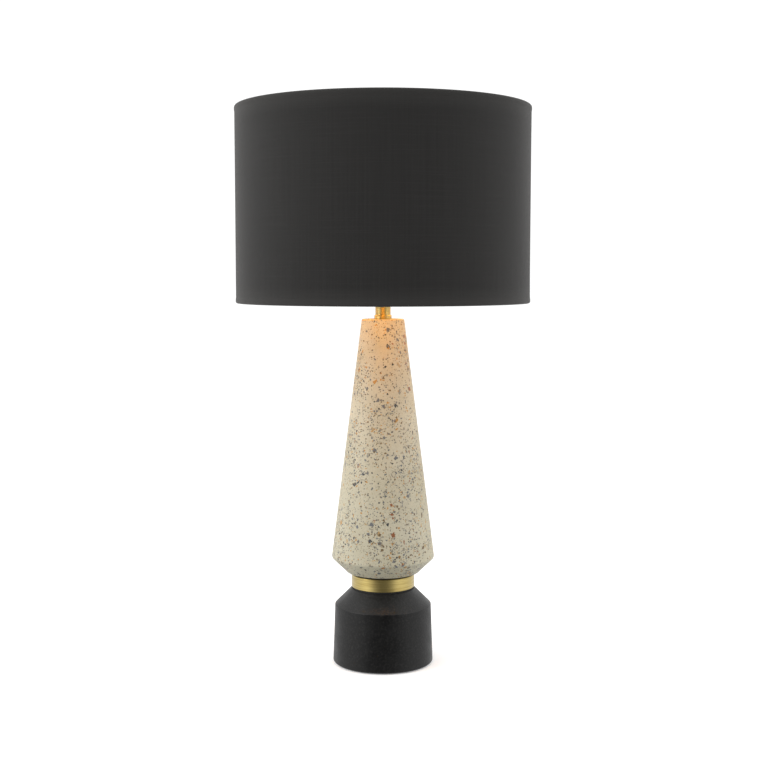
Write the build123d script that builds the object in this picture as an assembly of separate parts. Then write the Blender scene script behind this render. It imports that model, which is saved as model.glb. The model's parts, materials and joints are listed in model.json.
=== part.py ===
from build123d import *
import os
from math import cos, radians, sin

# Table lamp: black cast foot, brass collar, terrazzo cone, brass neck, E27 lampholder,
# fabric drum shade on a three-armed frame, and an LED filament bulb.
#
# Millimetres, +Z up. The origin is on the lamp's axis, on the surface that it stands on.
# The cord would leave at the back, along +Y.

# ---------------------------------------------------------------- driving dimensions

LAMP_HEIGHT = 580.0
SHADE_HEIGHT = 200.0
SHADE_INSIDE_R = 151.2  # the inside of the shade's cloth
HOLDER_TOP_Z = 420.0  # the height of the lamp without its shade and bulb

# Foot
PAD_R = 48.0
PAD_THICKNESS = 2.0
FOOT_BOTTOM_Z = 0.8  # the pad stands this much proud of its recess
FOOT_BOTTOM_R = 52.9
FOOT_CORNER_R = 50.8
FOOT_CORNER_Z = 61.9
FOOT_TOP_R = 33.3
FOOT_TOP_Z = FOOT_CORNER_Z + FOOT_CORNER_R - FOOT_TOP_R  # the shoulder is at 45 degrees
FOOT_CAVITY_R = 42.0
FOOT_CEILING_Z = 63.0
FOOT_CEILING_CHAMFER = 8.0

# Cord inlet, in the back of the foot
INLET_Z = 12.0
INLET_HOLE_R = 5.0
GROMMET_BORE_R = 3.6
GROMMET_FLANGE_R = 7.0
GROMMET_INNER_Y = 39.8
GROMMET_OUTER_Y = 54.6
FLEX_R = 3.0
FLEX_BEND_R = 26.0
CORE_R = 1.1

# Stack between the foot and the terrazzo
LOWER_GASKET_THICKNESS = 1.8
LOWER_GASKET_R = 32.0
COLLAR_R = 33.2
COLLAR_HEIGHT = 13.2
COLLAR_WALL = 2.0
UPPER_GASKET_THICKNESS = 2.6
UPPER_GASKET_R = 31.0
GASKET_WIDTH = 7.0

# Terrazzo body
TERRAZZO_BOTTOM_R = 38.0
RIDGE_R = 54.1
RIDGE_RISE = 15.7  # the ridge's height above the terrazzo's bottom face
RIDGE_ROUND = 3.0
TERRAZZO_TOP_R = 22.1
TERRAZZO_TOP_Z = 363.2
TOP_ROUND = 1.5
CORE_MOUTH_R = 20.0
CORE_MOUTH_DEPTH = 10.0
CORE_TOP_R = 9.0
CORE_ROOF = 18.0
PLUG_THICKNESS = 8.0
PLUG_RECESS = 0.6

# Centre tube and what it clamps
TUBE_R = 5.0  # M10x1
TUBE_BORE_R = 3.5
TUBE_BOTTOM_Z = 50.0
TUBE_HOLE_R = 5.3  # the clearance hole for the tube in the pieces that it clamps
NUT_FLATS = 14.0
NUT_THICKNESS = 5.0
LOCK_WASHER_THICKNESS = 1.0
LOCK_WASHER_R = 8.5
LOCK_WASHER_TEETH = 12
WASHER_THICKNESS = 2.0
WASHER_R = 16.0

# Brass neck
NECK_FLANGE_R = 9.05
NECK_FLANGE_HEIGHT = 4.2
NECK_TUBE_R = 8.0
NECK_TUBE_BORE_R = 6.8

# Lampholder
HOLDER_BASE_Z = 376.0
SKIRT_R = 19.7
SKIRT_WALL = 1.8
SKIRT_LIP = 1.8
SKIRT_MOUTH_R = 16.2
REST_FLANGE_R = 22.5
REST_FLANGE_THICKNESS = 1.5
REST_Z = 399.0  # the shade's fitter rests here
INSERT_R = 17.7
INSERT_BOTTOM_Z = 390.0
INSERT_TOP_Z = 396.0
SHELL_R = 14.1
SHELL_WALL = 0.5
SHELL_TOP_Z = 417.0
TERMINAL_X = 9.0
TERMINAL_HEAD_R = 2.6
TERMINAL_HEAD_HEIGHT = 2.2
TERMINAL_SHANK_R = 1.45

# Shade
CLOTH = 1.0
HEM_REACH = 4.8  # the hem turns in this far from the cloth's inside
HEM_LIP = 3.0
LINER = 0.5
WIRE_R = 1.5
WIRE_RING_R = SHADE_INSIDE_R - LINER - WIRE_R - 0.1
ARM_R = 1.6
ARM_ANGLES = {"rear": 90, "left": 210, "right": 330}
ARM_LEVEL_R = 126.0  # the arms run level out to here, then down to the bottom ring
ARM_BEND = 12.0
ARM_WELD = 0.8  # an arm's end reaches this far into what it is welded to
FITTER_BORE_R = 20.6
FITTER_R = 30.0
FITTER_THICKNESS = 1.6
RING_NUT_BORE_R = 20.05
RING_NUT_FLANGE_R = 28.0
RING_NUT_FLANGE_THICKNESS = 1.8
RING_NUT_R = 23.6
RING_NUT_HEIGHT = 7.0
RING_NUT_FLUTES = 24

# Bulb
BULB_CONTACT_Z = 399.0
BULB_CONTACT_R = 4.8
BULB_CONTACT_THICKNESS = 1.2
INSULATOR_TOP_Z = 404.4
BULB_CAP_R = 13.0
BULB_CAP_WALL = 0.5
BULB_CAP_TOP_Z = 424.0
GLASS = 1.0
GLASS_NECK_R = 12.2
BULB_R = 30.0
BULB_TOP_Z = 506.0
STEM_TOP_Z = 453.0
FILAMENT_R = 0.9
FILAMENT_ANGLES = (45, 135, 225, 315)
FILAMENT_LOW = (3.2, 457.0)
FILAMENT_HIGH = (9.5, 486.0)
SUPPORT_R = 0.4

SHADE_TOP_Z = LAMP_HEIGHT
SHADE_BOTTOM_Z = LAMP_HEIGHT - SHADE_HEIGHT
BOTTOM_WIRE_Z = SHADE_BOTTOM_Z + CLOTH + WIRE_R + 0.1
COLLAR_BOTTOM_Z = FOOT_TOP_Z + LOWER_GASKET_THICKNESS
COLLAR_TOP_Z = COLLAR_BOTTOM_Z + COLLAR_HEIGHT
TERRAZZO_BOTTOM_Z = COLLAR_TOP_Z + UPPER_GASKET_THICKNESS
NECK_TUBE_BOTTOM_Z = TERRAZZO_TOP_Z + NECK_FLANGE_HEIGHT
TUBE_TOP_Z = HOLDER_BASE_Z + 7
FLEX_TOP_Z = TUBE_TOP_Z + 1


# ------------------------------------------------------------------------ how to make

def turned(*corners):
    """A solid of revolution about Z. A corner is (radius, height) or (radius, height, rounding)."""
    points = [corner[:2] for corner in corners]
    rounds = [corner[2] if len(corner) == 3 else 0 for corner in corners]
    outline = FilletPolyline(*points, radius=rounds, close=True)
    return revolve(Plane.XZ * make_face(outline), Axis.Z)


def tube(outer, inner, low, high):
    return turned((inner, low), (outer, low), (outer, high), (inner, high))


def rod(start, end, radius):
    """A straight round bar between two points."""
    start, end = Vector(*start), Vector(*end)
    middle = Plane(origin=(start + end) / 2, z_dir=end - start)
    return middle * Cylinder(radius, (end - start).length)


def along_y(radius, low, high, z):
    return rod((0, low, z), (0, high, z), radius)


def pipe(path, radius):
    return sweep(Plane(origin=path @ 0, z_dir=path % 0) * Circle(radius), path)


def at_angle(radius, z, angle):
    return (radius * cos(radians(angle)), radius * sin(radians(angle)), z)


# ------------------------------------------------------------------------------- foot

def base_pad():
    return turned((0, 0), (PAD_R, 0, 0.4), (PAD_R, PAD_THICKNESS), (0, PAD_THICKNESS))


def base_block():
    ceiling_r = FOOT_CAVITY_R - FOOT_CEILING_CHAMFER
    block = turned(
        (TUBE_HOLE_R, FOOT_CEILING_Z),
        (ceiling_r, FOOT_CEILING_Z),
        (FOOT_CAVITY_R, FOOT_CEILING_Z - FOOT_CEILING_CHAMFER),
        (FOOT_CAVITY_R, PAD_THICKNESS),
        (PAD_R + 0.4, PAD_THICKNESS),
        (PAD_R + 0.4, FOOT_BOTTOM_Z),
        (FOOT_BOTTOM_R, FOOT_BOTTOM_Z, 2.0),
        (FOOT_CORNER_R, FOOT_CORNER_Z, 0.8),
        (FOOT_TOP_R, FOOT_TOP_Z, 0.5),
        (TUBE_HOLE_R, FOOT_TOP_Z),
    )
    return block - along_y(INLET_HOLE_R, FOOT_CAVITY_R - 6, FOOT_BOTTOM_R + 4, INLET_Z)


def cord_grommet():
    """A rubber bush that snaps into the foot, with a flange on each side of the wall."""
    body = along_y(INLET_HOLE_R - 0.1, GROMMET_INNER_Y, GROMMET_OUTER_Y, INLET_Z)
    outer = along_y(GROMMET_FLANGE_R, FOOT_CORNER_R, GROMMET_OUTER_Y, INLET_Z)
    inner = along_y(GROMMET_FLANGE_R - 0.7, GROMMET_INNER_Y, FOOT_CAVITY_R, INLET_Z)
    bore = along_y(GROMMET_BORE_R, GROMMET_INNER_Y - 1, GROMMET_OUTER_Y + 1, INLET_Z)
    return body + outer + inner - base_block() - bore


def bottom_washer():
    return tube(WASHER_R, TUBE_HOLE_R, FOOT_CEILING_Z - WASHER_THICKNESS, FOOT_CEILING_Z)


def lock_washer():
    top = FOOT_CEILING_Z - WASHER_THICKNESS
    ring = tube(LOCK_WASHER_R, TUBE_HOLE_R, top - LOCK_WASHER_THICKNESS, top)
    for place in PolarLocations(LOCK_WASHER_R, LOCK_WASHER_TEETH):
        ring -= Pos(0, 0, top) * place * Box(2.0, 1.2, LOCK_WASHER_THICKNESS * 3)
    return ring


def bottom_nut():
    top = FOOT_CEILING_Z - WASHER_THICKNESS - LOCK_WASHER_THICKNESS
    hexagon = RegularPolygon(NUT_FLATS / 2, 6, major_radius=False) - Circle(TUBE_R)
    nut = extrude(Pos(0, 0, top - NUT_THICKNESS) * hexagon, NUT_THICKNESS)
    corner_r = NUT_FLATS / 2 * 1.155
    cone = turned(
        (0, top - NUT_THICKNESS),
        (NUT_FLATS / 2 - 0.2, top - NUT_THICKNESS),
        (corner_r, top - NUT_THICKNESS + 0.8),
        (corner_r, top - 0.8),
        (NUT_FLATS / 2 - 0.2, top),
        (0, top),
    )
    return nut & cone


def threaded_tube():
    return tube(TUBE_R, TUBE_BORE_R, TUBE_BOTTOM_Z, TUBE_TOP_Z)


def inner_flex():
    """The mains lead inside the lamp: in from the grommet, round one bend, up the tube."""
    start_y = GROMMET_INNER_Y - 0.3
    route = FilletPolyline(
        (0, start_y, INLET_Z), (0, 0, INLET_Z), (0, 0, FLEX_TOP_Z), radius=FLEX_BEND_R
    )
    return pipe(route, FLEX_R)


def core(side):
    """One insulated core, from the end of the sheath to its terminal screw."""
    end_x = TERMINAL_X - TERMINAL_HEAD_R - 0.5
    terminal_z = INSERT_BOTTOM_Z - TERMINAL_HEAD_HEIGHT / 2 - 0.2
    route = FilletPolyline(
        (side * 1.3, 0, FLEX_TOP_Z),
        (side * 1.3, 0, FLEX_TOP_Z + 2.4),
        (side * end_x, 0, terminal_z),
        radius=1.6,
    )
    return pipe(route, CORE_R)


# --------------------------------------------------------------- collar, cone and neck

def lower_gasket():
    inner = LOWER_GASKET_R - GASKET_WIDTH
    return tube(LOWER_GASKET_R, inner, FOOT_TOP_Z, COLLAR_BOTTOM_Z)


def brass_collar():
    """A spun cup with its mouth down. Its plate carries the terrazzo."""
    inside_r = COLLAR_R - COLLAR_WALL
    plate_z = COLLAR_TOP_Z - COLLAR_WALL
    return turned(
        (TUBE_HOLE_R, plate_z),
        (inside_r, plate_z, 1.0),
        (inside_r, COLLAR_BOTTOM_Z),
        (COLLAR_R, COLLAR_BOTTOM_Z, 0.3),
        (COLLAR_R, COLLAR_TOP_Z, 0.5),
        (TUBE_HOLE_R, COLLAR_TOP_Z),
    )


def upper_gasket():
    inner = UPPER_GASKET_R - GASKET_WIDTH
    return tube(UPPER_GASKET_R, inner, COLLAR_TOP_Z, TERRAZZO_BOTTOM_Z)


def terrazzo_body():
    """Cast over a tapered former, then turned and ground outside."""
    mouth_z = TERRAZZO_BOTTOM_Z + CORE_MOUTH_DEPTH
    roof_z = TERRAZZO_TOP_Z - CORE_ROOF
    return turned(
        (CORE_MOUTH_R, TERRAZZO_BOTTOM_Z),
        (TERRAZZO_BOTTOM_R, TERRAZZO_BOTTOM_Z, 0.6),
        (RIDGE_R, TERRAZZO_BOTTOM_Z + RIDGE_RISE, RIDGE_ROUND),
        (TERRAZZO_TOP_R, TERRAZZO_TOP_Z, TOP_ROUND),
        (TUBE_HOLE_R, TERRAZZO_TOP_Z),
        (TUBE_HOLE_R, roof_z),
        (CORE_TOP_R, roof_z),
        (CORE_MOUTH_R, mouth_z),
    )


def centring_plug():
    """A moulded disc in the mouth of the terrazzo's core. It centres the tube."""
    low = TERRAZZO_BOTTOM_Z + PLUG_RECESS
    return tube(CORE_MOUTH_R - 0.1, TUBE_HOLE_R, low, low + PLUG_THICKNESS)


def neck_flange():
    return turned(
        (TUBE_HOLE_R, TERRAZZO_TOP_Z),
        (NECK_FLANGE_R, TERRAZZO_TOP_Z, 0.3),
        (NECK_FLANGE_R, NECK_TUBE_BOTTOM_Z, 0.4),
        (TUBE_HOLE_R, NECK_TUBE_BOTTOM_Z),
    )


def neck_tube():
    return tube(NECK_TUBE_R, NECK_TUBE_BORE_R, NECK_TUBE_BOTTOM_Z, HOLDER_BASE_Z)


# ------------------------------------------------------------------------- lampholder

def holder_cap():
    z = HOLDER_BASE_Z
    rim_r = SKIRT_R + 0.9
    cap = turned(
        (TUBE_R + 0.05, z),
        (9.5, z, 0.5),
        (9.5, z + 3.5),
        (rim_r, z + 10.5, 1.5),
        (rim_r, z + 17, 0.4),
        (SKIRT_R + 0.1, z + 17),
        (SKIRT_R + 0.1, INSERT_BOTTOM_Z),
        (17.0, INSERT_BOTTOM_Z),
        (17.0, z + 11),
        (9.0, z + 6),
        (TUBE_R + 0.05, z + 6),
    )
    return cap - along_y(1.5, TUBE_R - 1, rim_r, z + 3)


def cap_grub_screw():
    """Locks the cap on the threaded tube."""
    body = along_y(1.45, TUBE_R + 0.05, 9.0, HOLDER_BASE_Z + 3)
    socket = Plane(origin=(0, 9.0, HOLDER_BASE_Z + 3), z_dir=(0, 1, 0)) * RegularPolygon(0.75, 6)
    return body - extrude(socket, -1.5)


def holder_skirt():
    """The lower flange carries the shade, and the ring nut clamps it from above."""
    inside_r = SKIRT_R - SKIRT_WALL
    return turned(
        (inside_r, INSERT_BOTTOM_Z),
        (SKIRT_R, INSERT_BOTTOM_Z, 0.4),
        (SKIRT_R, REST_Z - REST_FLANGE_THICKNESS),
        (REST_FLANGE_R, REST_Z - REST_FLANGE_THICKNESS, 0.3),
        (REST_FLANGE_R, REST_Z, 0.3),
        (SKIRT_R, REST_Z),
        (SKIRT_R, HOLDER_TOP_Z, 0.8),
        (SKIRT_MOUTH_R, HOLDER_TOP_Z, 0.5),
        (SKIRT_MOUTH_R, HOLDER_TOP_Z - SKIRT_LIP),
        (inside_r, HOLDER_TOP_Z - SKIRT_LIP),
    )


def holder_insert():
    disc = turned(
        (0, INSERT_BOTTOM_Z),
        (INSERT_R, INSERT_BOTTOM_Z, 0.5),
        (INSERT_R, INSERT_TOP_Z, 0.5),
        (0, INSERT_TOP_Z),
    )
    for side in (-1, 1):
        low = (side * TERMINAL_X, 0, INSERT_BOTTOM_Z - 1)
        high = (side * TERMINAL_X, 0, INSERT_TOP_Z - 1)
        disc -= rod(low, high, TERMINAL_SHANK_R + 0.05)
    return disc


def screw_shell():
    """The threaded sleeve that the bulb screws into. It's one of the two contacts."""
    inside_r = SHELL_R - SHELL_WALL
    return turned(
        (inside_r, INSERT_TOP_Z),
        (SHELL_R + 2.4, INSERT_TOP_Z),
        (SHELL_R + 2.4, INSERT_TOP_Z + SHELL_WALL),
        (SHELL_R, INSERT_TOP_Z + SHELL_WALL),
        (SHELL_R, SHELL_TOP_Z),
        (inside_r, SHELL_TOP_Z),
    )


def centre_contact():
    """A folded spring strip under the bulb's tip."""
    strip = 0.5
    low = INSERT_TOP_Z
    high = BULB_CONTACT_Z - 0.3
    outline = FilletPolyline(
        (-8, low),
        (4.2, low),
        (4.2, high),
        (-4, high),
        (-4, high - strip),
        (4.2 - strip, high - strip),
        (4.2 - strip, low + strip),
        (-8, low + strip),
        radius=(0, 0.9, 0.9, 0, 0, 0.4, 0.4, 0),
        close=True,
    )
    return extrude(Plane.XZ * make_face(outline), 3.0, both=True)


def terminal_screw(x):
    """Clamps one core under its head."""
    head_low = INSERT_BOTTOM_Z - TERMINAL_HEAD_HEIGHT
    head = rod((x, 0, head_low), (x, 0, INSERT_BOTTOM_Z), TERMINAL_HEAD_R)
    shank = rod((x, 0, INSERT_BOTTOM_Z), (x, 0, INSERT_TOP_Z - 1.2), TERMINAL_SHANK_R)
    slot = Pos(x, 0, head_low) * Box(8, 0.8, 1.6)
    return head + shank - slot


# ------------------------------------------------------------------------------ shade

def shade_fabric():
    """The cloth drum. It turns in over both wires and back down behind them."""
    inner, outer = SHADE_INSIDE_R, SHADE_INSIDE_R + CLOTH
    hem_r = inner - HEM_REACH
    low, high = SHADE_BOTTOM_Z, SHADE_TOP_Z
    drum = turned(
        (hem_r, low, 0.6),
        (outer, low, 1.2),
        (outer, high, 1.2),
        (hem_r, high, 0.6),
        (hem_r, high - CLOTH - HEM_LIP),
        (hem_r + CLOTH, high - CLOTH - HEM_LIP),
        (hem_r + CLOTH, high - CLOTH),
        (inner, high - CLOTH),
        (inner, low + CLOTH),
        (hem_r + CLOTH, low + CLOTH),
        (hem_r + CLOTH, low + CLOTH + HEM_LIP),
        (hem_r, low + CLOTH + HEM_LIP),
    )
    for angle in ARM_ANGLES.values():  # the hem is snipped where an arm comes through it
        snip = Pos(hem_r, 0, low + CLOTH + HEM_LIP) * Box(8, 5, 2 * HEM_LIP)
        drum -= Rot(0, 0, angle) * snip
    return drum


def shade_liner():
    low, high = SHADE_BOTTOM_Z + CLOTH + 0.05, SHADE_TOP_Z - CLOTH - 0.05
    return tube(SHADE_INSIDE_R - 0.02, SHADE_INSIDE_R - LINER, low, high)


def wire_ring(z):
    return Pos(0, 0, z) * Torus(WIRE_RING_R, WIRE_R)


def shade_top_wire():
    return wire_ring(SHADE_TOP_Z - CLOTH - WIRE_R - 0.1)


def shade_bottom_wire():
    return wire_ring(BOTTOM_WIRE_Z)


def shade_fitter():
    """The flat ring that rests on the lampholder. The arms are welded to its edge."""
    return tube(FITTER_R, FITTER_BORE_R, REST_Z, REST_Z + FITTER_THICKNESS)


def shade_arm(angle):
    """Straddles the fitter's edge at one end and meets the bottom wire at the other."""
    level = REST_Z + FITTER_THICKNESS / 2
    route = FilletPolyline(
        at_angle(FITTER_R - ARM_WELD, level, angle),
        at_angle(ARM_LEVEL_R, level, angle),
        at_angle(WIRE_RING_R - ARM_WELD, BOTTOM_WIRE_Z + ARM_WELD, angle),
        radius=ARM_BEND,
    )
    return pipe(route, ARM_R) - shade_fitter() - shade_bottom_wire()


def shade_ring_nut():
    low = REST_Z + FITTER_THICKNESS
    step = low + RING_NUT_FLANGE_THICKNESS
    high = low + RING_NUT_HEIGHT
    nut = turned(
        (RING_NUT_BORE_R, low),
        (RING_NUT_FLANGE_R, low, 0.4),
        (RING_NUT_FLANGE_R, step, 0.6),
        (RING_NUT_R, step),
        (RING_NUT_R, high, 0.6),
        (RING_NUT_BORE_R, high),
    )
    for place in PolarLocations(RING_NUT_R + 0.5, RING_NUT_FLUTES):
        nut -= Pos(0, 0, step + 6) * place * Cylinder(1.1, 12)
    return nut


# ------------------------------------------------------------------------------- bulb

def bulb_contact():
    high = BULB_CONTACT_Z + BULB_CONTACT_THICKNESS
    low = BULB_CONTACT_Z
    return turned((0, low), (BULB_CONTACT_R, low, 0.6), (BULB_CONTACT_R, high), (0, high))


def bulb_insulator():
    low = BULB_CONTACT_Z + BULB_CONTACT_THICKNESS
    return turned(
        (0, low), (BULB_CONTACT_R + 0.6, low), (11.6, INSULATOR_TOP_Z), (0, INSULATOR_TOP_Z)
    )


def bulb_cap():
    inside_r = BULB_CAP_R - BULB_CAP_WALL
    return turned(
        (10.6, INSULATOR_TOP_Z),
        (11.6, INSULATOR_TOP_Z),
        (BULB_CAP_R, INSULATOR_TOP_Z + 1.6),
        (BULB_CAP_R, BULB_CAP_TOP_Z - 2),
        (BULB_CAP_R + 0.4, BULB_CAP_TOP_Z),
        (inside_r + 0.4, BULB_CAP_TOP_Z),
        (inside_r, BULB_CAP_TOP_Z - 2),
        (inside_r, INSULATOR_TOP_Z + 1.9),
    )


def glass_outline(inset):
    """Half the bulb's outline, from the neck's lower end to the top, drawn in (x, y)."""
    radius = BULB_R - inset
    centre_y = BULB_TOP_Z - BULB_R
    neck_r = GLASS_NECK_R - inset
    neck_low = (neck_r, BULB_CAP_TOP_Z - 6)
    neck_high = (neck_r, BULB_CAP_TOP_Z + 2)
    meet = radians(-35)  # the round part starts this far below its widest level
    shoulder = (radius * cos(meet), centre_y + radius * sin(meet))
    neck = Line(neck_low, neck_high)
    flare = Spline(neck_high, shoulder, tangents=((0, 1), (-sin(meet), cos(meet))))
    crown = JernArc(shoulder, (-sin(meet), cos(meet)), radius, 125)
    return neck + flare + crown


def bulb_glass():
    outside, inside = glass_outline(0), glass_outline(GLASS)
    low = BULB_CAP_TOP_Z - 6
    foot_edge = Line((GLASS_NECK_R - GLASS, low), (GLASS_NECK_R, low))
    top_edge = Line((0, BULB_TOP_Z), (0, BULB_TOP_Z - GLASS))
    outline = outside + inside + foot_edge + top_edge
    return revolve(Plane.XZ * make_face(outline), Axis.Z)


def bulb_stem():
    low = BULB_CAP_TOP_Z - 3
    return turned(
        (0, low + 4),
        (10.9, low),
        (10.9, low + 1),
        (5.2, low + 13, 6.0),
        (3.4, STEM_TOP_Z - 1),
        (0, STEM_TOP_Z),
    )


def bulb_filament(angle):
    low, high = at_angle(*FILAMENT_LOW, angle), at_angle(*FILAMENT_HIGH, angle)
    return rod(low, high, FILAMENT_R)


def bulb_wires():
    """The centre post and the wires that hold the filaments at both ends."""
    low_z, high_z = FILAMENT_LOW[1] - 2, FILAMENT_HIGH[1] + 2
    wires = rod((0, 0, STEM_TOP_Z), (0, 0, high_z), SUPPORT_R)
    for angle in FILAMENT_ANGLES:
        wires += rod((0, 0, low_z), at_angle(*FILAMENT_LOW, angle), SUPPORT_R)
        wires += rod((0, 0, high_z), at_angle(*FILAMENT_HIGH, angle), SUPPORT_R)
    for angle in FILAMENT_ANGLES:
        wires -= bulb_filament(angle)
    return wires


# ------------------------------------------------------------------------------ write

NODES = {
    "base_pad": base_pad,
    "base_block": base_block,
    "cord_grommet": cord_grommet,
    "bottom_washer": bottom_washer,
    "lock_washer": lock_washer,
    "bottom_nut": bottom_nut,
    "threaded_tube": threaded_tube,
    "inner_flex": inner_flex,
    "live_core": lambda: core(1),
    "neutral_core": lambda: core(-1),
    "lower_gasket": lower_gasket,
    "brass_collar": brass_collar,
    "upper_gasket": upper_gasket,
    "terrazzo_body": terrazzo_body,
    "centring_plug": centring_plug,
    "neck_flange": neck_flange,
    "neck_tube": neck_tube,
    "holder_cap": holder_cap,
    "cap_grub_screw": cap_grub_screw,
    "holder_skirt": holder_skirt,
    "holder_insert": holder_insert,
    "screw_shell": screw_shell,
    "centre_contact": centre_contact,
    "live_terminal_screw": lambda: terminal_screw(TERMINAL_X),
    "neutral_terminal_screw": lambda: terminal_screw(-TERMINAL_X),
    "shade_ring_nut": shade_ring_nut,
    "shade_fabric": shade_fabric,
    "shade_liner": shade_liner,
    "shade_top_wire": shade_top_wire,
    "shade_bottom_wire": shade_bottom_wire,
    "shade_fitter": shade_fitter,
    "bulb_contact": bulb_contact,
    "bulb_insulator": bulb_insulator,
    "bulb_cap": bulb_cap,
    "bulb_glass": bulb_glass,
    "bulb_stem": bulb_stem,
    "bulb_wires": bulb_wires,
}
for name, turn in ARM_ANGLES.items():
    NODES[f"shade_arm_{name}"] = lambda turn=turn: shade_arm(turn)
for number, turn in enumerate(FILAMENT_ANGLES, 1):
    NODES[f"bulb_filament_{number}"] = lambda turn=turn: bulb_filament(turn)

os.makedirs("parts", exist_ok=True)
for node, make in NODES.items():
    export_step(make(), f"parts/{node}.step")
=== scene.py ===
# The looks of a table lamp: fabric drum shade, brass neck, terrazzo cone, brass collar, black foot.
#
# Outlines are in millimetres, (radius, height) about the lamp's axis, and are turned into metres
# when a mesh is made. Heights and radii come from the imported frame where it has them.

import json
import math

import bmesh
import bpy
import numpy as np
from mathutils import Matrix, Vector


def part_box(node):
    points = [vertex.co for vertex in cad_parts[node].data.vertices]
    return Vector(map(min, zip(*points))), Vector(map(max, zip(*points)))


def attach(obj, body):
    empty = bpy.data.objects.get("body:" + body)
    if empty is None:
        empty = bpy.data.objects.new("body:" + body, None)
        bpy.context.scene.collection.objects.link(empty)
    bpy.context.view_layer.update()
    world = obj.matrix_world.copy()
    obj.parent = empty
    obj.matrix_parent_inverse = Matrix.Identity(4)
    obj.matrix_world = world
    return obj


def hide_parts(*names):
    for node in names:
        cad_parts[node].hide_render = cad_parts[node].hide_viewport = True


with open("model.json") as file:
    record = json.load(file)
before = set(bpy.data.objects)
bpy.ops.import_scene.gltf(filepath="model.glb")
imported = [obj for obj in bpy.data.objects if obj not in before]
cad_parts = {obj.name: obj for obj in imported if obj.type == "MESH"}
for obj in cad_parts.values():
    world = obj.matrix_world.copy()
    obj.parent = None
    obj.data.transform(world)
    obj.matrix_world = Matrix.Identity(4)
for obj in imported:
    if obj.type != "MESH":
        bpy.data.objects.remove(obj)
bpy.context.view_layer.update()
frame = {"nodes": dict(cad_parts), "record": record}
NODES = frame["nodes"]
MM = 0.001
TURN = 2 * math.pi
SEGMENTS = 192


# ------------------------------------------------------------------ reading the frame

def span(node):
    """A round node's outer radius, lowest and highest level, in millimetres."""
    low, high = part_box(node)
    return high.x / MM, low.z / MM, high.z / MM


# ------------------------------------------------------------------------ mesh making

def unit(vector):
    return vector / np.linalg.norm(vector)


def rounded(corners, steps=5, closed=True):
    """An outline of (radius, height) or (radius, height, rounding) corners.

    Each round corner gets one more point on each side, which keeps its shading off the flats.
    """
    places = np.array([corner[:2] for corner in corners], float)
    radii = [corner[2] if len(corner) == 3 else 0 for corner in corners]
    count = len(places)

    def side(i, step):
        return unit(places[(i + step) % count] - places[i])

    def reach(i):
        """How far from a corner its arc begins."""
        i %= count
        if not radii[i] or (not closed and i in (0, count - 1)):
            return 0.0
        half = math.acos(np.clip(np.dot(side(i, -1), side(i, 1)), -1, 1)) / 2
        return radii[i] / math.tan(half)

    points = []
    for i, (corner, radius) in enumerate(zip(places, radii)):
        if not reach(i):
            points.append(corner)
            continue
        ways = side(i, -1), side(i, 1)
        start, end = (corner + way * reach(i) for way in ways)
        centre = corner + unit(ways[0] + ways[1]) * math.hypot(radius, reach(i))
        first = math.atan2(*(start - centre)[::-1])
        turn = (math.atan2(*(end - centre)[::-1]) - first + math.pi) % TURN - math.pi
        arc = [first + turn * k / steps for k in range(steps + 1)]
        arc = [centre + radius * np.array([math.cos(a), math.sin(a)]) for a in arc]
        for step, way in zip((-1, 1), ways):
            length = np.linalg.norm(places[(i + step) % count] - corner)
            free = length - reach(i) - reach(i + step)
            if free < -0.01:
                raise ValueError(f"no room for the rounding at {tuple(corner)}")
            hold = (start, end)[step > 0] + way * min(0.3, free / 3)
            arc = [hold, *arc] if step < 0 else [*arc, hold]
        points += arc
    return np.array(points)


def refined(outline, longest):
    """The outline with points added, so that no step is longer than that."""
    points = []
    for a, b in zip(outline, np.roll(outline, -1, axis=0)):
        count = max(1, math.ceil(np.linalg.norm(b - a) / longest))
        points += [a + (b - a) * i / count for i in range(count)]
    return np.array(points)


def mesh_object(name, parts, sharp=40):
    """A smooth-shaded object from closed parts, each (vertices in millimetres, faces)."""
    whole = bmesh.new()
    for vertices, faces in parts:
        mesh = bpy.data.meshes.new(name)
        mesh.from_pydata([tuple(c * MM for c in v) for v in vertices], [], faces)
        part = bmesh.new()
        part.from_mesh(mesh)
        bmesh.ops.remove_doubles(part, verts=part.verts, dist=1e-7)
        if part.calc_volume(signed=True) < 0:
            bmesh.ops.reverse_faces(part, faces=part.faces)
        part.to_mesh(mesh)
        part.free()
        whole.from_mesh(mesh)
        bpy.data.meshes.remove(mesh)
    mesh = bpy.data.meshes.new(name)
    whole.to_mesh(mesh)
    whole.free()
    mesh.shade_smooth()
    mesh.set_sharp_from_angle(angle=math.radians(sharp))
    piece = bpy.data.objects.new(name, mesh)
    bpy.context.scene.collection.objects.link(piece)
    return piece


def grid_faces(rows, columns, wrap_rows=True, wrap_columns=True):
    faces = []
    for i in range(rows if wrap_rows else rows - 1):
        for j in range(columns if wrap_columns else columns - 1):
            k, l = (i + 1) % rows, (j + 1) % columns
            faces.append((i * columns + j, i * columns + l, k * columns + l, k * columns + j))
    return faces


def lathe(name, outline, shape=None, angles=None, closed=True, sharp=40):
    """Turns an outline about the lamp's axis. shape(r, z, angle) may change a point's radius."""
    if angles is None:
        angles = np.arange(SEGMENTS) * TURN / SEGMENTS
    angle, r = np.meshgrid(angles, outline[:, 0], indexing="ij")
    z = np.broadcast_to(outline[:, 1], r.shape)
    if shape is not None:
        r = np.where(r > 1e-6, shape(r, z, angle), 0)
    points = np.stack([r * np.sin(angle), -r * np.cos(angle), z], -1).reshape(-1, 3)
    return mesh_object(name, [(points, grid_faces(len(angles), len(outline), True, closed))], sharp)


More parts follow.
